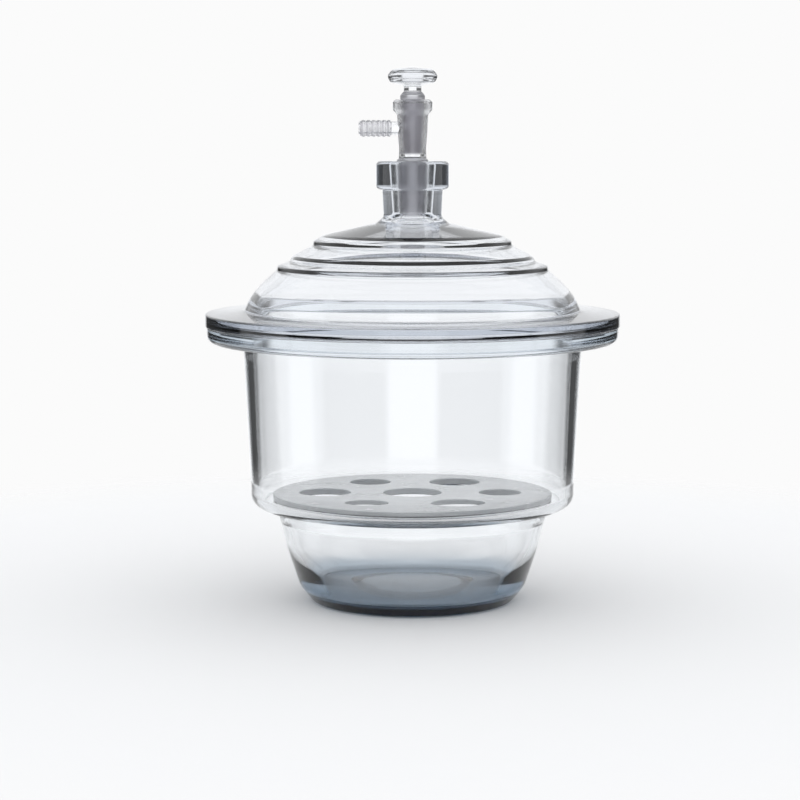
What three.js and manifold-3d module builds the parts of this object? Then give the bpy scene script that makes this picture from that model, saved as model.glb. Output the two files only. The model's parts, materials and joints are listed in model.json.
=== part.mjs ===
// A glass vacuum desiccator: a stepped vessel with a ground rim, a tiered lid with a ground neck,
// a perforated porcelain plate on the vessel's ledge, and a stopcock whose key turns in a tapered barrel.
// Millimetres, +Z up. The origin is the centre of the foot ring, on the surface that the vessel stands on.
import * as THREE from "three";
import { mergeVertices } from "three/addons/utils/BufferGeometryUtils.js";
import Module from "manifold-3d";

const wasm = await Module();
wasm.setup();

// ---- driving dimensions -------------------------------------------------------------------------
const GAP = 0.3; // between pieces that touch, as the grease film leaves them
const WALL = 6.5; // usual wall of the pressed glass

const RIM_Z = 216.3; // ground top of the vessel, where the lid sits
const FLANGE_R = 160.8; // vessel's flange
const FLANGE_T = 12.3; // its thickness
const MOUTH_R = 125.4; // inside of the vessel at the rim
const WAIST_R = 120.4; // inside of the drying chamber just above the ledge
const LEDGE_Z = 80.4; // shelf that carries the plate
const STEP_Z = 75; // underside of that shelf, outside
const WELL_R = 98.5; // inside of the desiccant well at its top
const FOOT_R = 79; // outer edge of the foot ring, before rounding
const PUNT_R = 48; // raised centre under the floor
const PUNT_H = 3.5;
const FLOOR_Z = 9;

const LID_FLANGE_R = 161.8;
const LID_FLANGE_T = 9.8;
const LOWER_RING = { r: 105.3, z: 263.2 }; // shoulder between the lid's lowest tier and the next
const UPPER_RING = { r: 77, z: 282.6 }; // shoulder under the cap
const DOME_WALL = 5.5; // the lid's inside follows its tiers at this depth
const NECK_R = 22.5;
const COLLAR = { r: 28.3, low: 322.2, high: 344.2, round: 3.2 };

const PLATE_R = 110;
const PLATE_T = 5;
const PLATE_HOLES = { centre: 23, ring: 69, large: 20.4, small: 16.5, count: 6 };

const TAPER = 0.05; // radius per length of a 1:10 ground joint
const CONE = { r: 12, length: 40, tip: 7 }; // ground cone in the lid's neck, and its plain end below
const TUBE_BORE_R = 7.5;
const BARREL_TOP_Z = 391.4;
const BARREL_RIM_R = 15.4;
const NOZZLE = {
  z: 369.4,
  start: 10, // within the barrel's wall
  neck: 16.5,
  end: 41.8,
  root: 5.2, // radii from here on
  valley: 5.7,
  crest: 6.7,
  bore: 3.2,
  barbs: 6,
};

const KEY = { low: 350.3, high: 394.8, r: 9.4, bore: 3.6, port: 3.2 }; // r is at the barrel's top
const KNOB = { r: 20.2, low: 402.4, high: 417, stem: 6.8 };

const ROUND = 48; // sides of the large turned pieces
const SMALL_ROUND = 24; // sides of the stopcock
const CHORD_ERROR = 0.25; // how far a rounded corner's facets may leave its arc
const TIGHTEST_ROUND = 2.5; // inside a tier's shoulder

// ---- materials ----------------------------------------------------------------------------------
const glass = (color) =>
  new THREE.MeshStandardMaterial({ color, roughness: 0.05, metalness: 0, transparent: true, opacity: 0.35 });
const vesselGlass = glass(0xdfe8ee);
const lidGlass = glass(0xe2e9ec);
const stopcockGlass = glass(0xdcdfe4);
const keyGlass = glass(0xc8cacf);
const porcelain = new THREE.MeshStandardMaterial({ color: 0xd9dbdd, roughness: 0.35, metalness: 0 });

// ---- outlines -----------------------------------------------------------------------------------
// An outline is a list of [radius, height] or [radius, height, corner radius].
// Returns its points as Vector2, with each rounded corner as an arc that touches both of its sides.
function rounded(corners, closed) {
  const points = [];
  corners.forEach(([r, z, round = 0], i) => {
    const here = new THREE.Vector2(r, z);
    const before = corners.at(i - 1);
    const after = corners[(i + 1) % corners.length];
    const isEnd = !closed && (i === 0 || i === corners.length - 1);
    if (!round || isEnd) {
      points.push(here);
      return;
    }
    const back = new THREE.Vector2(before[0], before[1]).sub(here).normalize();
    const on = new THREE.Vector2(after[0], after[1]).sub(here).normalize();
    const half = Math.acos(THREE.MathUtils.clamp(back.dot(on), -1, 1)) / 2;
    const reach = round / Math.tan(half);
    const centre = back.clone().add(on).normalize().multiplyScalar(round / Math.sin(half)).add(here);
    const start = here.clone().addScaledVector(back, reach).sub(centre);
    const turn = Math.sign(back.cross(on)) * -(Math.PI - 2 * half);
    const stepTurn = 2 * Math.acos(1 - Math.min(1, CHORD_ERROR / round));
    const steps = Math.ceil(Math.abs(turn) / stepTurn);
    for (let k = 0; k <= steps; k += 1) {
      points.push(start.clone().rotateAround(new THREE.Vector2(), (turn * k) / steps).add(centre));
    }
  });
  if (closed) points.push(points[0].clone());
  return points;
}

// The inner side of a wall. It takes an open outline whose material is on the left of the way it runs,
// leaves out both ends, and sets the other corners in by the wall's depth, as widely rounded as they fit.
function lining(corners, depth) {
  const at = corners.map(([r, z]) => new THREE.Vector2(r, z));
  const ways = at.slice(1).map((point, i) => point.clone().sub(at[i]).normalize());
  const inner = at.slice(1, -1).map((point, i) => {
    const across = ways[i].clone().add(ways[i + 1]).normalize();
    const half = Math.acos(ways[i].dot(across));
    return point.clone().add(new THREE.Vector2(-across.y, across.x).multiplyScalar(depth / Math.cos(half)));
  });
  return inner.map((point, i) => {
    const turn = Math.atan2(ways[i].cross(ways[i + 1]), ways[i].dot(ways[i + 1]));
    const own = corners[i + 1][2];
    const wanted = turn > 0 ? Math.max(own - depth, TIGHTEST_ROUND) : own + depth;
    const room = Math.min(
      point.distanceTo(inner[i - 1] ?? at[0]),
      point.distanceTo(inner[i + 1] ?? at.at(-1)),
    );
    return [point.x, point.y, Math.min(wanted, (0.45 * room) / Math.tan(Math.abs(turn) / 2))];
  });
}

// A solid of revolution about Z. The outline runs anticlockwise, with the radius to the right and Z up.
function turned(corners, sides, closed = false) {
  return new THREE.LatheGeometry(rounded(corners, closed), sides).rotateX(Math.PI / 2);
}

// ---- solids, where a piece needs a cut or a join ------------------------------------------------
function toSolid(geometry) {
  const bare = geometry.clone();
  bare.deleteAttribute("normal");
  bare.deleteAttribute("uv");
  const merged = mergeVertices(bare, 1e-4);
  return new wasm.Manifold(
    new wasm.Mesh({
      numProp: 3,
      vertProperties: merged.attributes.position.array,
      triVerts: new Uint32Array(merged.index.array),
    }),
  );
}

function toGeometry(solid) {
  const mesh = solid.getMesh();
  const geometry = new THREE.BufferGeometry();
  geometry.setAttribute("position", new THREE.BufferAttribute(mesh.vertProperties, 3));
  geometry.setIndex(new THREE.BufferAttribute(mesh.triVerts, 1));
  geometry.computeVertexNormals();
  return geometry;
}

// A round bar from the Z axis out along -X, at the height z.
function barAlongX(radius, from, to, z) {
  const bar = new THREE.CylinderGeometry(radius, radius, to - from, 16);
  return bar.rotateZ(Math.PI / 2).translate(-(from + to) / 2, 0, z);
}

// ---- the pieces ---------------------------------------------------------------------------------
function vessel() {
  return turned(
    [
      [0, PUNT_H],
      [PUNT_R - 7, PUNT_H, 12],
      [PUNT_R + 1, 0, 8],
      [FOOT_R, 0, 6],
      [FOOT_R + 10, 12.5, 16],
      [WELL_R - 0.3, 40, 150],
      [WELL_R + WALL, STEP_Z - 8, 6],
      [WELL_R + WALL + 2.5, STEP_Z, 3],
      [WAIST_R + WALL - 0.3, STEP_Z, 10],
      [WAIST_R + WALL - 0.1, LEDGE_Z + 14, 60],
      [MOUTH_R + WALL - 0.1, RIM_Z - FLANGE_T - 12, 20],
      [MOUTH_R + WALL + 1, RIM_Z - FLANGE_T, 2],
      [FLANGE_R - 0.5, RIM_Z - FLANGE_T, 6],
      [FLANGE_R, RIM_Z, 0.8],
      [MOUTH_R, RIM_Z, 1.6],
      [WAIST_R, LEDGE_Z, 6],
      [WELL_R, LEDGE_Z, 4],
      [WELL_R - 1.5, STEP_Z - 11, 20],
      [WELL_R - WALL - 0.6, 38, 80],
      [FOOT_R - 3, FLOOR_Z, 10],
      [0, FLOOR_Z],
    ],
    ROUND,
  );
}

function lid() {
  const low = RIM_Z + GAP;
  const top = low + LID_FLANGE_T;
  const boreTop = CONE.r + GAP;
  const boreLow = boreTop - TAPER * CONE.length;
  const dome = [
    [131.6, top + 2, 3],
    [126.8, top + 12, 30],
    [118.6, LOWER_RING.z - 14.6, 60],
    [LOWER_RING.r + 0.6, LOWER_RING.z - 3.4, 1.2],
    [LOWER_RING.r, LOWER_RING.z, 2],
    [96, LOWER_RING.z + 3.4, 2],
    [93.8, LOWER_RING.z + 7.4, 6],
    [UPPER_RING.r + 0.6, UPPER_RING.z - 3.6, 1.2],
    [UPPER_RING.r, UPPER_RING.z, 2],
    [69, UPPER_RING.z + 4.4, 14],
    [NECK_R + 5.5, COLLAR.high - 47.8, 5],
  ];
  return turned(
    [
      [MOUTH_R + 1.2, low, 1.4],
      [LID_FLANGE_R, low, 0.8],
      [LID_FLANGE_R, top, 1.6],
      ...dome,
      [NECK_R, COLLAR.high - 43, 4],
      [NECK_R + 1, COLLAR.low, 0.6],
      [COLLAR.r, COLLAR.low, COLLAR.round],
      [COLLAR.r, COLLAR.high, COLLAR.round],
      [boreTop, COLLAR.high, 0.9],
      [boreLow, COLLAR.high - CONE.length, 3],
      [18, UPPER_RING.z + 9.4, 6],
      ...lining(dome, DOME_WALL).reverse(),
      [MOUTH_R - 0.6, low + 2],
    ],
    ROUND,
    true,
  );
}

function plate() {
  const face = new THREE.Shape().absarc(0, 0, PLATE_R, 0, 2 * Math.PI);
  face.holes.push(new THREE.Path().absarc(0, 0, PLATE_HOLES.centre, 0, 2 * Math.PI));
  for (let i = 0; i < PLATE_HOLES.count; i += 1) {
    const angle = (i * 2 * Math.PI) / PLATE_HOLES.count;
    const radius = i % 2 ? PLATE_HOLES.large : PLATE_HOLES.small;
    const hole = new THREE.Path();
    hole.absarc(PLATE_HOLES.ring * Math.cos(angle), PLATE_HOLES.ring * Math.sin(angle), radius, 0, 2 * Math.PI);
    face.holes.push(hole);
  }
  return new THREE.ExtrudeGeometry(face, { depth: PLATE_T, bevelEnabled: false, curveSegments: 16 });
}

// The nozzle's barbs: each rises towards the barrel and drops back to the valley.
function nozzle() {
  const pitch = (NOZZLE.end - 1.5 - NOZZLE.neck) / NOZZLE.barbs;
  const corners = [
    [0, NOZZLE.start],
    [NOZZLE.root, NOZZLE.start],
    [NOZZLE.root, NOZZLE.neck],
  ];
  for (let i = 0; i < NOZZLE.barbs; i += 1) {
    const from = NOZZLE.neck + i * pitch;
    corners.push([NOZZLE.crest, from + 0.3 * pitch]);
    corners.push([NOZZLE.valley, from + pitch]);
  }
  corners.push([NOZZLE.valley, NOZZLE.end - 1.2], [NOZZLE.valley - 1.2, NOZZLE.end], [0, NOZZLE.end]);
  return turned(corners, 16).rotateY(-Math.PI / 2).translate(0, 0, NOZZLE.z);
}

function stopcockBody() {
  const coneLow = COLLAR.high - CONE.length;
  const coneLowR = CONE.r - TAPER * CONE.length;
  const socketTop = KEY.r + GAP;
  const socketLow = socketTop - TAPER * (BARREL_TOP_Z - KEY.low + 1);
  const wall = turned(
    [
      [TUBE_BORE_R - 0.3, coneLow - CONE.tip, 0.6],
      [coneLowR - 0.9, coneLow - CONE.tip, 0.6],
      [coneLowR - 0.3, coneLow - 0.5],
      [coneLowR, coneLow],
      [CONE.r + 0.05, COLLAR.high + 1],
      [10.7, COLLAR.high + 2],
      [10.5, COLLAR.high + 9, 20],
      [11.6, NOZZLE.z - 2, 40],
      [12, BARREL_TOP_Z - 12, 3],
      [BARREL_RIM_R, BARREL_TOP_Z - 7.6, 2.6],
      [BARREL_RIM_R, BARREL_TOP_Z, 2.8],
      [socketTop, BARREL_TOP_Z, 0.8],
      [socketLow, KEY.low - 1, 1],
      [TUBE_BORE_R - 0.1, KEY.low - 4],
      [TUBE_BORE_R, COLLAR.high, 10],
    ],
    SMALL_ROUND,
    true,
  );
  const bore = toSolid(barAlongX(NOZZLE.bore, 0, NOZZLE.end + 1, NOZZLE.z));
  return toGeometry(toSolid(wall).add(toSolid(nozzle())).subtract(bore));
}

function stopcockKey() {
  const lowR = KEY.r - TAPER * (BARREL_TOP_Z - KEY.low);
  const highR = KEY.r + TAPER * (KEY.high - BARREL_TOP_Z);
  const plug = turned(
    [
      [0, NOZZLE.z + KEY.port],
      [KEY.bore, NOZZLE.z + KEY.port],
      [KEY.bore, KEY.low, 0.5],
      [lowR, KEY.low, 0.7],
      [highR, KEY.high, 1.6],
      [KNOB.stem, KEY.high + 3, 2.5],
      [KNOB.stem, KNOB.low, 1.5],
      [KNOB.r - 2.6, KNOB.low + 2, 3],
      [KNOB.r + 0.3, KNOB.low + 7.2, 4.2],
      [KNOB.r - 3.6, KNOB.high - 2.2, 6],
      [0, KNOB.high],
    ],
    SMALL_ROUND,
  );
  const port = toSolid(barAlongX(KEY.port, 0, KEY.r + 2, NOZZLE.z));
  return toGeometry(toSolid(plug).subtract(port));
}

// ---- the assembly -------------------------------------------------------------------------------
function piece(name, geometry, material, z = 0) {
  const mesh = new THREE.Mesh(geometry, material);
  mesh.name = name;
  mesh.position.z = z;
  return mesh;
}

const desiccator = new THREE.Group();
desiccator.add(
  piece("base_vessel", vessel(), vesselGlass),
  piece("lid", lid(), lidGlass),
  piece("perforated_plate", plate(), porcelain, LEDGE_Z + GAP),
  piece("stopcock_body", stopcockBody(), stopcockGlass),
  piece("stopcock_key", stopcockKey(), keyGlass),
);

export default desiccator;
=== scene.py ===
"""A glass vacuum desiccator, drawn around its CAD frame: finely turned glass, a glazed porcelain plate,
ground joints, and a plain pale studio. Lengths are in metres unless a name says millimetres."""
import json
import math

import bmesh
import bpy
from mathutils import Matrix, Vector


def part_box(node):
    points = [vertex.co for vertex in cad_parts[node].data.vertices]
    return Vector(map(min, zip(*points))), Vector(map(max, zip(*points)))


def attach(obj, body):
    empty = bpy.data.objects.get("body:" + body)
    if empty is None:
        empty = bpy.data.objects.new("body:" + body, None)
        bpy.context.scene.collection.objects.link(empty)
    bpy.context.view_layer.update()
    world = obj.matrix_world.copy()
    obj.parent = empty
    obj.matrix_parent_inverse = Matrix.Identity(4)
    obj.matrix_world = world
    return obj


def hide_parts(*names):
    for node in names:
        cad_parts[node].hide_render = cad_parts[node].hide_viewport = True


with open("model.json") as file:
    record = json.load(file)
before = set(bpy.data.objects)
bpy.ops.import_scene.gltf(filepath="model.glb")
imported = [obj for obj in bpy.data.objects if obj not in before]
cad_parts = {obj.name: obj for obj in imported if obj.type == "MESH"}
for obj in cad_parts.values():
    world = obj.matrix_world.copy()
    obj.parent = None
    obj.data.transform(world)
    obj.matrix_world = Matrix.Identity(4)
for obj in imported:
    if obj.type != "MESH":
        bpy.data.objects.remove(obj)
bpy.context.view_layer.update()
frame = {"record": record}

MM = 0.001
SIDES = 224  # round the vessel and lid
SMALL_SIDES = 128  # round the stopcock
ARC_STEP = math.radians(9)  # turn between the points of a rounded corner
SUPPORT_STEP = 2.5  # millimetres between extra rings where another piece is cut in or joined on
SMALLEST_ROUND = 0.25  # millimetres, for corners that have no rounding of their own

# ---- where the pieces are, read from the frame, in millimetres ----------------------------------


def reach(node):
    """A node's outer radius, lowest z and highest z, in millimetres."""
    low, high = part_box(node)
    return high.x / MM, low.z / MM, high.z / MM


FLANGE_R, _, RIM_Z = reach("base_vessel")
LID_R, LID_Z, COLLAR_TOP = reach("lid")
PLATE_R, PLATE_LOW, PLATE_TOP = reach("perforated_plate")
BARREL_RIM_R, TIP_Z, BARREL_TOP = reach("stopcock_body")
KNOB_R, KEY_LOW, KNOB_TOP = reach("stopcock_key")
HOSE_END = -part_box("stopcock_body")[0].x / MM

WALL = 6.5
LEDGE_Z = PLATE_LOW - 0.3
STEP_Z = LEDGE_Z - 5.4
FLANGE_T = 12.3
LID_FLANGE_T = 9.8
MOUTH_R = 125.4
WAIST_R = 120.4
WELL_R = 98.5
FOOT_R = 79
PUNT_R = 48  # raised centre under the floor
PUNT_H = 3.5
FLOOR_Z = 9
SHADE_FADE_TOP = 30  # painted shade: the bowl's glass absorbs more below this height, darkening its lower part like the shade beneath it
LOWER_RING = (105.3, LID_Z + 46.6)
UPPER_RING = (77, LID_Z + 66)
DOME_WALL = 5.5
TIGHTEST_ROUND = 2.5
NECK_R = 22.5
COLLAR_R = 28.3
TAPER = 0.05  # radius per length of the 1 in 10 ground joints
CONE_R, CONE_LENGTH = 12, 40
CONE_LOW = COLLAR_TOP - CONE_LENGTH
HOSE_Z = BARREL_TOP - 22
KEY_R = 9.4  # at the barrel's top
GAP = 0.3
CENTRE_HOLE_R = 23
HOLE_RING_R = 69  # circle on which the plate's other holes lie
RING_HOLES = 6
LARGE_HOLE_R = 20.4
SMALL_HOLE_R = 16.5

# ---- outlines -----------------------------------------------------------------------------------


def rounded(corners, closed=False):
    """Points of an outline from [radius, height, corner radius, ground] corners, each with its normal and
    whether the stretch that leaves it is ground. Normals point to the right of the way it runs."""
    full = [(list(c) + [0, False][len(c) - 2:])[:4] for c in corners]
    points = []
    count = len(full)

    def side(a, b):
        """Unit direction from corner a to corner b."""
        return (Vector(b[:2]) - Vector(a[:2])).normalized()

    for i, (r, z, radius, ground) in enumerate(full):
        here = Vector((r, z))
        is_end = not closed and i in (0, count - 1)
        if is_end:
            other = full[1] if i == 0 else full[-2]
            way = side(full[i], other) if i == 0 else side(other, full[i])
            points.append((here, Vector((way.y, -way.x)), ground))
            continue
        way_in = side(full[i - 1], full[i])
        way_out = side(full[i], full[(i + 1) % count])
        turn = math.atan2(way_in.cross(way_out), way_in.dot(way_out))
        if abs(turn) < 1e-4:
            points.append((here, Vector((way_in.y, -way_in.x)), ground))
            continue
        radius = max(radius, SMALLEST_ROUND)
        cut = radius * math.tan(abs(turn) / 2)
        start = here - way_in * cut
        steps = max(1, math.ceil(abs(turn) / ARC_STEP))
        normal = Vector((way_in.y, -way_in.x))
        sign = math.copysign(1, turn)
        centre = start - normal * radius * sign
        for k in range(steps + 1):
            angle = turn * k / steps
            c, s = math.cos(angle), math.sin(angle)
            n = Vector((normal.x * c - normal.y * s, normal.x * s + normal.y * c))
            points.append((centre + n * radius * sign, n, ground and k == steps))
    return points


def lining(corners, depth):
    """The inner side of a wall: an open outline, less its ends, set in to the left of the way it runs."""
    at = [Vector(c[:2]) for c in corners]
    ways = [(b - a).normalized() for a, b in zip(at, at[1:])]
    inner = []
    for point, before, after in zip(at[1:-1], ways, ways[1:]):
        across = (before + after).normalized()
        inner.append(point + Vector((-across.y, across.x)) * depth / before.dot(across))
    ends = [at[0]] + inner + [at[-1]]
    result = []
    for i, point in enumerate(inner):
        turn = math.atan2(ways[i].cross(ways[i + 1]), ways[i].dot(ways[i + 1]))
        own = corners[i + 1][2]
        wanted = max(own - depth, TIGHTEST_ROUND) if turn > 0 else own + depth
        room = min((point - ends[i]).length, (point - ends[i + 2]).length)
        result.append((point.x, point.y, min(wanted, 0.45 * room / math.tan(abs(turn) / 2))))
    return result


def turned_mesh(name, corners, sides, closed, material):
    """A mesh turned about Z from an outline in millimetres, with the outline's own normals."""
    points = rounded(corners, closed)
    verts, normals, faces, ground_faces = [], [], [], []
    rings = []
    for p, n, _ in points:
        if p.x < 1e-6:
            rings.append([len(verts)])
            verts.append((0, 0, p.y * MM))
            normals.append((0, 0, math.copysign(1, n.y)))
            continue
        rings.append(list(range(len(verts), len(verts) + sides)))
        for k in range(sides):
            a = 2 * math.pi * k / sides
            verts.append((p.x * math.cos(a) * MM, p.x * math.sin(a) * MM, p.y * MM))
            normals.append((n.x * math.cos(a), n.x * math.sin(a), n.y))
    spans = len(rings) if closed else len(rings) - 1
    for i in range(spans):
        low, high = rings[i], rings[(i + 1) % len(rings)]
        for k in range(sides):
            nxt = (k + 1) % sides
            if len(low) == 1:
                face = (low[0], high[nxt], high[k])
            elif len(high) == 1:
                face = (low[k], low[nxt], high[0])
            else:
                face = (low[k], low[nxt], high[nxt], high[k])
            faces.append(face)
            ground_faces.append(points[i][2])
    mesh = bpy.data.meshes.new(name)
    mesh.from_pydata(verts, [], faces)
    mesh.materials.append(material)
    mesh.polygons.foreach_set("use_smooth", [True] * len(faces))
    ground = mesh.attributes.new("ground", "FLOAT", "FACE")
    ground.data.foreach_set("value", [float(g) for g in ground_faces])
    mesh.normals_split_custom_set_from_vertices(normals)
    mesh.update()
    return mesh


def add(name, mesh, node):
    """Puts a mesh in the scene as a piece that takes a CAD node's place and body."""
    piece = bpy.data.objects.new(name, mesh)
    bpy.context.scene.collection.objects.link(piece)
    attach(piece, next(b for b, nodes in frame["record"]["behaviour"]["bodies"].items() if node in nodes))
    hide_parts(node)
    return piece


# ---- materials ----------------------------------------------------------------------------------

BLUE = (0.50, 0.62, 0.72)
GREY = (0.66, 0.70, 0.76)
SCRATCH_DEPTH = 0.00004  # of the ground faces


def new_material(name):
    """A material with its node tree emptied down to the output and a Principled shader."""
    material = bpy.data.materials.new(name)
    material.use_nodes = True
    nodes = material.node_tree.nodes
    nodes.clear()
    out = nodes.new("ShaderNodeOutputMaterial")
    shader = nodes.new("ShaderNodeBsdfPrincipled")
    material.node_tree.links.new(shader.outputs[0], out.inputs["Surface"])
    return material, shader, out


def noise(material, scale, detail=2.0, stretch=(1, 1, 1)):
    """A noise texture in the object's own coordinates. scale is in features per metre."""
    nodes, links = material.node_tree.nodes, material.node_tree.links
    where = nodes.new("ShaderNodeTexCoord")
    mapping = nodes.new("ShaderNodeMapping")
    mapping.inputs["Scale"].default_value = stretch
    texture = nodes.new("ShaderNodeTexNoise")
    texture.inputs["Scale"].default_value = scale
    texture.inputs["Detail"].default_value = detail
    links.new(where.outputs["Object"], mapping.inputs["Vector"])
    links.new(mapping.outputs[0], texture.inputs["Vector"])
    return texture.outputs["Fac"]


def spread(material, value, low, high):
    """Maps a noise value onto a range."""
    node = material.node_tree.nodes.new("ShaderNodeMapRange")
    node.inputs["From Min"].default_value = 0.3
    node.inputs["From Max"].default_value = 0.7
    node.inputs["To Min"].default_value = low
    node.inputs["To Max"].default_value = high
    material.node_tree.links.new(value, node.inputs["Value"])
    return node.outputs[0]


def bumps(material, value, depth, below=None, strength=None):
    """A bump of the given depth in metres, laid over another one if below is given."""
    node = material.node_tree.nodes.new("ShaderNodeBump")
    node.inputs["Distance"].default_value = depth
    material.node_tree.links.new(value, node.inputs["Height"])
    if below:
        material.node_tree.links.new(below, node.inputs["Normal"])
    if strength:
        material.node_tree.links.new(strength, node.inputs["Strength"])
    return node.outputs[0]


def mixed(material, factor, first, second):
    """A number that goes from the first value to the second as the factor goes from 0 to 1."""
    node = material.node_tree.nodes.new("ShaderNodeMix")
    material.node_tree.links.new(factor, node.inputs["Factor"])
    material.node_tree.links.new(first, node.inputs["A"])
    material.node_tree.links.new(second, node.inputs["B"])
    return node.outputs["Result"]


def by_height(material, low, high):
    """A number that goes from low at the vessel's floor to high at the height SHADE_FADE_TOP; it sets the
    painted shade of the bowl's lower part.
    """
    nodes, links = material.node_tree.nodes, material.node_tree.links
    where = nodes.new("ShaderNodeTexCoord")
    axes = nodes.new("ShaderNodeSeparateXYZ")
    links.new(where.outputs["Object"], axes.inputs[0])
    fade = nodes.new("ShaderNodeMapRange")
    fade.interpolation_type = "SMOOTHSTEP"
    fade.inputs["From Min"].default_value = FLOOR_Z * MM
    fade.inputs["From Max"].default_value = SHADE_FADE_TOP * MM
    fade.inputs["To Min"].default_value = low
    fade.inputs["To Max"].default_value = high
    links.new(axes.outputs[2], fade.inputs["Value"])
    return fade.outputs[0]


def glass(name, tint, density, wave, rough, haze, painted_shade_density=None):
    """Pressed glass: clear, slightly uneven and tinted through its depth, with finely ground faces.

    One material does both finishes, because a closed glass body has to be left through the shader it
    was entered by. The face attribute "ground" says which faces are ground. Those have a roughness
    that varies between the two values of rough, and haze is the share of light, by colour, that
    their scratches and grease let through. tint and density are what the depth of the glass absorbs;
    painted_shade_density is a denser absorption at the floor, which fades to the usual one at the height
    SHADE_FADE_TOP: painted shade that darkens the bowl's lower part like the shade beneath it."""
    material, shader, out = new_material(name)
    nodes, links = material.node_tree.nodes, material.node_tree.links
    shader.inputs["Transmission Weight"].default_value = 1
    shader.inputs["IOR"].default_value = 1.5
    ground = nodes.new("ShaderNodeAttribute")
    ground.attribute_name = "ground"
    colour = nodes.new("ShaderNodeMix")
    colour.data_type = "RGBA"
    colour.inputs["A"].default_value = (1, 1, 1, 1)
    colour.inputs["B"].default_value = (*haze, 1)
    links.new(ground.outputs["Fac"], colour.inputs["Factor"])
    links.new(colour.outputs["Result"], shader.inputs["Base Color"])
    smears = spread(material, noise(material, 25, 4, (1, 1, 0.35)), 0.0, 0.012)
    patches = spread(material, noise(material, 90, 5, (1, 1, 3)), *rough)
    links.new(mixed(material, ground.outputs["Fac"], smears, patches), shader.inputs["Roughness"])
    ripple = bumps(material, noise(material, 18, 1, (1, 1, 0.5)), wave)
    grains = bumps(material, noise(material, 2600, 3), SCRATCH_DEPTH, ripple, ground.outputs["Fac"])
    links.new(grains, shader.inputs["Normal"])
    depth = nodes.new("ShaderNodeVolumeAbsorption")
    depth.inputs["Color"].default_value = (*tint, 1)
    depth.inputs["Density"].default_value = density
    # painted shade: the glass absorbs more towards the bowl's floor
    if painted_shade_density:
        links.new(by_height(material, painted_shade_density, density), depth.inputs["Density"])
    links.new(depth.outputs[0], out.inputs["Volume"])
    return material


def porcelain_glaze():
    """White porcelain under a thin glaze, with faint clouding, kiln specks and a slight orange-peel."""
    material, shader, _ = new_material("porcelain")
    nodes, links = material.node_tree.nodes, material.node_tree.links
    clouds = noise(material, 35, 5)
    ramp = nodes.new("ShaderNodeValToRGB")
    ramp.color_ramp.elements[0].position = 0.3
    ramp.color_ramp.elements[0].color = (0.50, 0.52, 0.54, 1)
    ramp.color_ramp.elements[1].position = 0.75
    ramp.color_ramp.elements[1].color = (0.60, 0.61, 0.62, 1)
    links.new(clouds, ramp.inputs["Fac"])
    specks = nodes.new("ShaderNodeTexVoronoi")
    specks.inputs["Scale"].default_value = 160
    where = nodes.new("ShaderNodeTexCoord")
    links.new(where.outputs["Object"], specks.inputs["Vector"])
    dark = nodes.new("ShaderNodeMapRange")
    dark.inputs["From Min"].default_value = 0.05
    dark.inputs["From Max"].default_value = 0.09
    dark.inputs["To Min"].default_value = 0.35
    dark.inputs["To Max"].default_value = 0.0
    links.new(specks.outputs["Distance"], dark.inputs["Value"])
    mix = nodes.new("ShaderNodeMix")
    mix.data_type = "RGBA"
    links.new(dark.outputs[0], mix.inputs["Factor"])
    links.new(ramp.outputs[0], mix.inputs["A"])
    mix.inputs["B"].default_value = (0.30, 0.27, 0.24, 1)
    links.new(mix.outputs["Result"], shader.inputs["Base Color"])
    links.new(spread(material, clouds, 0.16, 0.30), shader.inputs["Roughness"])
    peel = noise(material, 420, 2)
    links.new(bumps(material, peel, 0.00005), shader.inputs["Normal"])
    shader.inputs["Coat Weight"].default_value = 0.3
    shader.inputs["Coat Roughness"].default_value = 0.08
    return material


vessel_glass = glass(
    "vessel_glass",
    tint=BLUE,
    density=10.0,
    wave=0.00006,
    rough=(0.14, 0.24),
    haze=(0.86, 0.87, 0.90),
    # painted shade: denser absorption darkens the bowl towards its floor
    painted_shade_density=110.0,
)
lid_glass = glass(
    "lid_glass",
    tint=GREY,
    density=24.0,
    wave=0.00006,
    rough=(0.14, 0.24),
    haze=(0.72, 0.72, 0.73),
)
stopcock_glass = glass(
    "stopcock_glass",
    tint=GREY,
    density=12.0,
    wave=0.00002,
    rough=(0.42, 0.56),
    haze=(0.63, 0.62, 0.65),
)

# ---- the pieces ---------------------------------------------------------------------------------


def build_vessel():
    """Foot and bowl, the step that the plate's ledge is in, the chamber and the ground rim."""
    under_rim = RIM_Z - FLANGE_T
    corners = [
        (0, PUNT_H),
        (PUNT_R - 7, PUNT_H, 12),
        (PUNT_R + 1, 0, 8),
        (FOOT_R, 0, 6),
        (FOOT_R + 10, 12.5, 16),
        (WELL_R - 0.3, 40, 150),
        (WELL_R + WALL, STEP_Z - 8, 6),
        (WELL_R + WALL + 2.5, STEP_Z, 3),
        (WAIST_R + WALL - 0.3, STEP_Z, 10),
        (WAIST_R + WALL - 0.1, LEDGE_Z + 14, 60),
        (MOUTH_R + WALL - 0.1, under_rim - 12, 20),
        (MOUTH_R + WALL + 1, under_rim, 2),
        (FLANGE_R - 0.5, under_rim, 6),
        (FLANGE_R, RIM_Z, 0.8, True),
        (MOUTH_R, RIM_Z, 1.6),
        (WAIST_R, LEDGE_Z, 6),
        (WELL_R, LEDGE_Z, 4),
        (WELL_R - 1.5, STEP_Z - 11, 20),
        (WELL_R - WALL - 0.6, 38, 80),
        (FOOT_R - 3, FLOOR_Z, 10),
        (0, FLOOR_Z),
    ]
    mesh = turned_mesh("vessel_glass", corners, SIDES, False, vessel_glass)
    return add("vessel_glass", mesh, "base_vessel")


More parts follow.
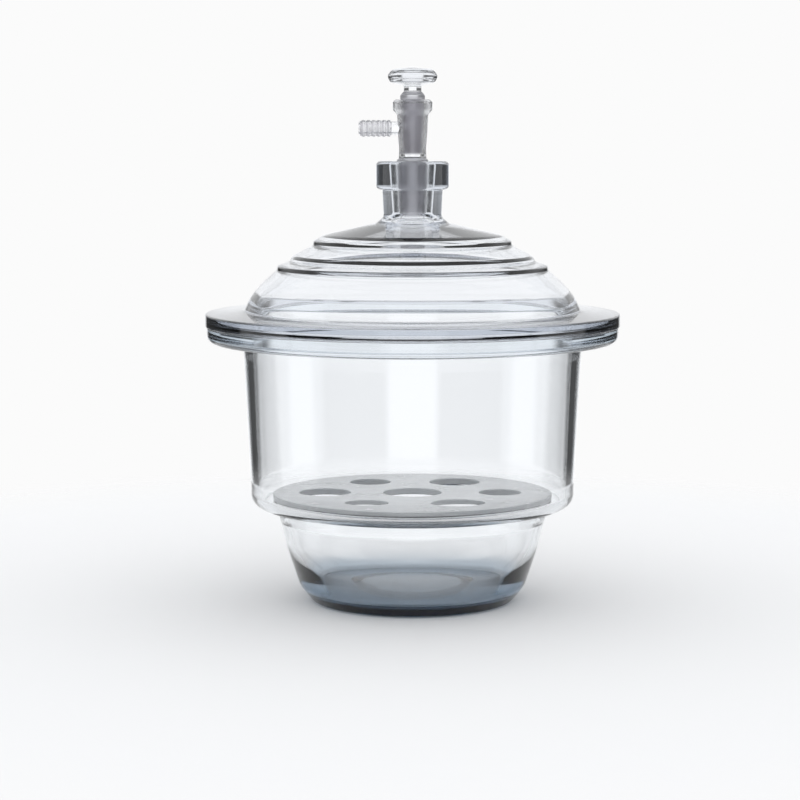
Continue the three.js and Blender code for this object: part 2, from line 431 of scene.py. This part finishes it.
def build_lid():
    """Ground flange, tiered dome, neck, and the collar round the ground socket."""
    top = LID_Z + LID_FLANGE_T
    bore_top = CONE_R + GAP
    collar_low = COLLAR_TOP - 22
    dome = [
        (131.6, top + 2, 3),
        (126.8, top + 12, 30),
        (118.6, LOWER_RING[1] - 14.6, 60),
        (LOWER_RING[0] + 0.6, LOWER_RING[1] - 3.4, 1.2),
        (LOWER_RING[0], LOWER_RING[1], 2),
        (96, LOWER_RING[1] + 3.4, 2),
        (93.8, LOWER_RING[1] + 7.4, 6),
        (UPPER_RING[0] + 0.6, UPPER_RING[1] - 3.6, 1.2),
        (UPPER_RING[0], UPPER_RING[1], 2),
        (69, UPPER_RING[1] + 4.4, 14),
        (NECK_R + 5.5, COLLAR_TOP - 47.8, 5),
    ]
    corners = [
        (MOUTH_R + 1.2, LID_Z, 1.4, True),
        (LID_R, LID_Z, 0.8),
        (LID_R, top, 1.6),
        *dome,
        (NECK_R, COLLAR_TOP - 43, 4),
        (NECK_R + 1, collar_low, 0.6),
        (COLLAR_R, collar_low, 3.2),
        (COLLAR_R, COLLAR_TOP, 3.2),
        (bore_top, COLLAR_TOP, 0.9, True),
        (bore_top - TAPER * CONE_LENGTH, CONE_LOW, 3),
        (18, UPPER_RING[1] + 9.4, 6),
        *reversed(lining(dome, DOME_WALL)),
        (MOUTH_R - 0.6, LID_Z + 2, 4),
    ]
    return add("lid_glass", turned_mesh("lid_glass", corners, SIDES, True, lid_glass), "lid")


def hose_arm_corners():
    """Outline of the ribbed arm, from inside the barrel's wall out to its end. Its ribs are faintly hazy."""
    start, neck, root, valley, crest, barbs = 10, 16.5, 5.2, 5.7, 6.7, 6
    haze = 0.4
    pitch = (HOSE_END - 1.5 - neck) / barbs
    corners = [(0, start), (root, start, 0.1), (root, neck, 1)]
    for i in range(barbs):
        z = neck + i * pitch
        corners.append((crest, z + 0.3 * pitch, 0.9, haze))
        corners.append((valley, z + pitch, 0.9, haze))
    return corners + [(valley, HOSE_END - 1.2, 0.6), (valley - 1.2, HOSE_END, 0.6), (0, HOSE_END)]


def support_rings(corners, longest, closed):
    """Adds corners on long stretches, so that shading stays even where a cut lands on one."""
    out = []
    for a, b in zip(corners, corners[1:] + [corners[0] if closed else corners[-1]]):
        out.append(a)
        ground = len(a) > 3 and a[3]
        parts = max(1, math.ceil(math.dist(a[:2], b[:2]) / longest))
        for k in range(1, parts):
            t = k / parts
            out.append((a[0] + (b[0] - a[0]) * t, a[1] + (b[1] - a[1]) * t, 0, ground))
    return out


def bar_along_x(radius, length, z):
    """A round bar that runs out along -X at the height z, for cutting a bore."""
    corners = [(0, 0), (radius, 0, 0.01), (radius, length, 0.01), (0, length)]
    mesh = turned_mesh("bar", corners, 48, False, stopcock_glass)
    bar = bpy.data.objects.new("bar", mesh)
    lay_along_x(mesh, z)
    bpy.context.scene.collection.objects.link(bar)
    return bar


def lay_along_x(mesh, z):
    """Turns a mesh made about Z so that it runs out along -X at the height z."""
    for v in mesh.vertices:
        x, y, up = v.co
        v.co = (-up, y, z * MM + x)
    mesh.update()


def combine(mesh, steps):
    """Joins meshes to a first one, or cuts them from it, and gives back the result with smooth curves."""
    base = bpy.data.objects.new("base", mesh)
    bpy.context.scene.collection.objects.link(base)
    others = []
    for operation, other in steps:
        modifier = base.modifiers.new("join", "BOOLEAN")
        modifier.operation = operation
        modifier.solver = "EXACT"
        modifier.object = other
        others.append(other)
    graph = bpy.context.evaluated_depsgraph_get()
    result = bpy.data.meshes.new_from_object(base.evaluated_get(graph))
    for o in [base] + others:
        bpy.data.objects.remove(o)
    if "custom_normal" in result.attributes:
        result.attributes.remove(result.attributes["custom_normal"])
    cleaned = bmesh.new()
    cleaned.from_mesh(result)
    bmesh.ops.triangulate(cleaned, faces=cleaned.faces)
    bmesh.ops.dissolve_degenerate(cleaned, dist=0.001 * MM, edges=cleaned.edges)
    cleaned.to_mesh(result)
    cleaned.free()
    result.polygons.foreach_set("use_smooth", [True] * len(result.polygons))
    result.set_sharp_from_angle(angle=math.radians(35))
    return result


def build_stopcock():
    """Ground cone, tube and barrel turned as one wall, with the hose arm joined on and its bore cut."""
    cone_low_r = CONE_R - TAPER * CONE_LENGTH
    socket_top = KEY_R + GAP
    socket_low = socket_top - TAPER * (BARREL_TOP - KEY_LOW + 1)
    corners = [
        (7.2, TIP_Z, 0.6),
        (cone_low_r - 0.9, TIP_Z, 0.6),
        (cone_low_r - 0.3, CONE_LOW - 0.5, 0.3),
        (cone_low_r, CONE_LOW, 0.3, True),
        (CONE_R + 0.05, COLLAR_TOP + 1, 0.3),
        (10.7, COLLAR_TOP + 2.0, 0.6),
        (10.5, COLLAR_TOP + 9, 20),
        (11.6, HOSE_Z - 2, 40),
        (12, BARREL_TOP - 12, 3),
        (BARREL_RIM_R, BARREL_TOP - 7.6, 2.6),
        (BARREL_RIM_R, BARREL_TOP, 2.8),
        (socket_top, BARREL_TOP, 0.8, True),
        (socket_low, KEY_LOW - 1, 1),
        (7.4, KEY_LOW - 4, 1),
        (7.5, COLLAR_TOP, 10),
    ]
    wall = turned_mesh("wall", support_rings(corners, SUPPORT_STEP, True), SMALL_SIDES, True, stopcock_glass)
    arm_mesh = turned_mesh("arm", hose_arm_corners(), 64, False, stopcock_glass)
    lay_along_x(arm_mesh, HOSE_Z)
    arm = bpy.data.objects.new("arm", arm_mesh)
    bpy.context.scene.collection.objects.link(arm)
    bore = bar_along_x(3.2, HOSE_END + 1, HOSE_Z)
    mesh = combine(wall, [("UNION", arm), ("DIFFERENCE", bore)])
    mesh.name = "stopcock_glass"
    return add("stopcock_glass", mesh, "stopcock_body")


def build_key():
    """Hollow ground plug with its side port, stem and mushroom handle."""
    bore, port = 3.6, 3.2
    low_r = KEY_R - TAPER * (BARREL_TOP - KEY_LOW)
    plug_top = BARREL_TOP + 3.4
    high_r = KEY_R + TAPER * (plug_top - BARREL_TOP)
    knob_low = KNOB_TOP - 14.6
    corners = [
        (0, HOSE_Z + port),
        (bore, HOSE_Z + port, 1.5),
        (bore, KEY_LOW, 0.5),
        (low_r, KEY_LOW, 0.7, True),
        (high_r, plug_top, 1.6, True),
        (6.8, plug_top + 3, 2.5),
        (6.8, knob_low, 1.5),
        (KNOB_R - 2.6, knob_low + 2, 3),
        (KNOB_R + 0.3, knob_low + 7.2, 4.2),
        (KNOB_R - 3.6, KNOB_TOP - 2.2, 6),
        (0, KNOB_TOP),
    ]
    outline = support_rings(corners, SUPPORT_STEP, False)
    plug = turned_mesh("plug", outline, SMALL_SIDES, False, stopcock_glass)
    cut = bar_along_x(port, KEY_R + 2, HOSE_Z)
    mesh = combine(plug, [("DIFFERENCE", cut)])
    mesh.name = "key_glass"
    return add("key_glass", mesh, "stopcock_key")


def build_plate():
    """A disc with seven holes, its edges fired round."""
    edge = 0.9
    curve = bpy.data.curves.new("plate", "CURVE")
    curve.dimensions = "2D"
    curve.fill_mode = "BOTH"
    curve.resolution_u = 24
    curve.extrude = (PLATE_TOP - PLATE_LOW) * MM / 2 - edge * MM
    curve.bevel_depth = edge * MM
    curve.bevel_resolution = 4

    def ring(x, y, radius):
        spline = curve.splines.new("BEZIER")
        spline.bezier_points.add(3)
        handle = radius * 0.5523  # makes four Bezier arcs a circle
        for point, (dx, dy) in zip(spline.bezier_points, [(1, 0), (0, 1), (-1, 0), (0, -1)]):
            at = Vector((x + radius * dx, y + radius * dy, 0)) * MM
            along = Vector((-dy, dx, 0)) * handle * MM
            point.co = at
            point.handle_left = at - along
            point.handle_right = at + along
        spline.use_cyclic_u = True

    ring(0, 0, PLATE_R - edge)
    ring(0, 0, CENTRE_HOLE_R + edge)
    for i in range(RING_HOLES):
        a = i * 2 * math.pi / RING_HOLES
        radius = LARGE_HOLE_R if i % 2 else SMALL_HOLE_R
        ring(HOLE_RING_R * math.cos(a), HOLE_RING_R * math.sin(a), radius + edge)
    holder = bpy.data.objects.new("plate_curve", curve)
    bpy.context.scene.collection.objects.link(holder)
    graph = bpy.context.evaluated_depsgraph_get()
    mesh = bpy.data.meshes.new_from_object(holder.evaluated_get(graph))
    bpy.data.objects.remove(holder)
    for v in mesh.vertices:
        v.co.z += (PLATE_TOP + PLATE_LOW) / 2 * MM
    mesh.materials.clear()
    mesh.materials.append(porcelain_glaze())
    mesh.polygons.foreach_set("use_smooth", [True] * len(mesh.polygons))
    mesh.set_sharp_from_angle(angle=math.radians(35))
    mesh.name = "plate_porcelain"
    return add("plate_porcelain", mesh, "perforated_plate")


build_vessel()
build_lid()
build_stopcock()
build_key()
build_plate()

# ---- studio -------------------------------------------------------------------------------------

PALE = 0.965  # the backdrop
FLOOR_PALE = 0.93
FLOOR_R = 0.75
FLOOR_DROP = 0.0004  # keeps the floor's face clear of the foot
FADE = 0.25  # width of the rim over which the floor passes into the backdrop
SOFT_BOXES = 4
BOX_LEVEL = 0.98
CEILING_LEVEL = 0.98
GROUND_LEVEL = 0.95
BOX_EDGE = (15, 21)  # degrees from a box's middle, between which its light falls off
GAP_LEVEL = 0.08  # the dim gaps between the boxes


def build_floor():
    """A round, plain pale floor, the same for every ray, whose rim fades into the backdrop."""
    sides = 96
    rim = [2 * math.pi * k / sides for k in range(sides)]
    mesh = bpy.data.meshes.new("studio_floor")
    verts = [(FLOOR_R * math.cos(a), FLOOR_R * math.sin(a), 0) for a in rim]
    mesh.from_pydata(verts, [], [tuple(range(sides))])
    floor = bpy.data.objects.new("studio_floor", mesh)
    floor.location.z = -FLOOR_DROP
    bpy.context.scene.collection.objects.link(floor)
    material = bpy.data.materials.new("studio_floor")
    material.use_nodes = True
    nodes, links = material.node_tree.nodes, material.node_tree.links
    nodes.clear()
    out = nodes.new("ShaderNodeOutputMaterial")
    where = nodes.new("ShaderNodeTexCoord")
    length = nodes.new("ShaderNodeVectorMath")
    length.operation = "LENGTH"
    links.new(where.outputs["Object"], length.inputs[0])
    fade = nodes.new("ShaderNodeMapRange")
    fade.interpolation_type = "SMOOTHSTEP"
    fade.inputs["From Min"].default_value = FLOOR_R - FADE
    fade.inputs["From Max"].default_value = FLOOR_R
    links.new(length.outputs["Value"], fade.inputs["Value"])
    pale = nodes.new("ShaderNodeBsdfDiffuse")
    pale.inputs["Color"].default_value = (FLOOR_PALE, FLOOR_PALE, FLOOR_PALE, 1)
    gone = nodes.new("ShaderNodeBsdfTransparent")
    mix = nodes.new("ShaderNodeMixShader")
    links.new(fade.outputs[0], mix.inputs["Fac"])
    links.new(pale.outputs[0], mix.inputs[1])
    links.new(gone.outputs[0], mix.inputs[2])
    links.new(mix.outputs[0], out.inputs["Surface"])
    mesh.materials.append(material)


def build_world():
    """Equal soft boxes evenly spaced all round, with dim gaps between them, under an even ceiling and over
    pale ground. The backdrop that the camera sees directly is plain pale in every direction."""
    world = bpy.data.worlds.new("studio")
    bpy.context.scene.world = world
    world.use_nodes = True
    nodes, links = world.node_tree.nodes, world.node_tree.links
    nodes.clear()
    out = nodes.new("ShaderNodeOutputWorld")
    where = nodes.new("ShaderNodeTexCoord")
    parts = nodes.new("ShaderNodeSeparateXYZ")
    links.new(where.outputs["Generated"], parts.inputs[0])
    x, y, z = parts.outputs

    def maths(operation, *values):
        node = nodes.new("ShaderNodeMath")
        node.operation = operation
        for socket, value in zip(node.inputs, values):
            if isinstance(value, (int, float)):
                socket.default_value = value
            else:
                links.new(value, socket)
        return node.outputs[0]

    def step(value, start, end):
        """Rises smoothly from 0 to 1 between two values, or falls if the first is the larger."""
        node = nodes.new("ShaderNodeMapRange")
        node.interpolation_type = "SMOOTHSTEP"
        node.inputs["From Min"].default_value = min(start, end)
        node.inputs["From Max"].default_value = max(start, end)
        node.inputs["To Min"].default_value = 0.0 if start < end else 1.0
        node.inputs["To Max"].default_value = 1.0 if start < end else 0.0
        links.new(value, node.inputs["Value"])
        return node.outputs[0]

    up = maths("MULTIPLY", maths("ARCSINE", z), 180 / math.pi)
    around = maths("MULTIPLY", maths("ARCTAN2", y, x), 180 / math.pi)
    spacing = 360 / SOFT_BOXES
    off_box = maths("PINGPONG", maths("ADD", around, 360), spacing / 2)
    boxes = maths("MULTIPLY", step(off_box, BOX_EDGE[1], BOX_EDGE[0]), BOX_LEVEL)
    ceiling = maths("MULTIPLY", step(up, 0, 7), CEILING_LEVEL)
    ground = maths("MULTIPLY", step(up, -12, -18), GROUND_LEVEL)
    level = maths("ADD", maths("MAXIMUM", boxes, maths("MAXIMUM", ceiling, ground)), GAP_LEVEL)
    lit = nodes.new("ShaderNodeBackground")
    lit.inputs["Color"].default_value = (0.975, 0.985, 1.0, 1)
    links.new(level, lit.inputs["Strength"])
    seen = nodes.new("ShaderNodeBackground")
    seen.inputs["Color"].default_value = (PALE, PALE, PALE, 1)
    path = nodes.new("ShaderNodeLightPath")
    mix = nodes.new("ShaderNodeMixShader")
    links.new(path.outputs["Is Camera Ray"], mix.inputs["Fac"])
    links.new(lit.outputs[0], mix.inputs[1])
    links.new(seen.outputs[0], mix.inputs[2])
    links.new(mix.outputs[0], out.inputs["Surface"])


def build_camera():
    """The photograph's view: 1.85 m away, just below the height of the hose arm, looking down six degrees."""
    distance, height = 1.845, 0.364
    data = bpy.data.cameras.new("camera")
    data.sensor_width = 36
    data.lens = 106.41
    camera = bpy.data.objects.new("camera", data)
    bpy.context.scene.collection.objects.link(camera)
    pitch = math.radians(6.386)
    aside = math.radians(0.303)
    camera.location = (0, -distance, height)
    camera.rotation_euler = (math.pi / 2 - pitch, 0, aside)
    bpy.context.scene.camera = camera


build_floor()
build_world()
build_camera()
bpy.context.scene.view_settings.view_transform = "Standard"
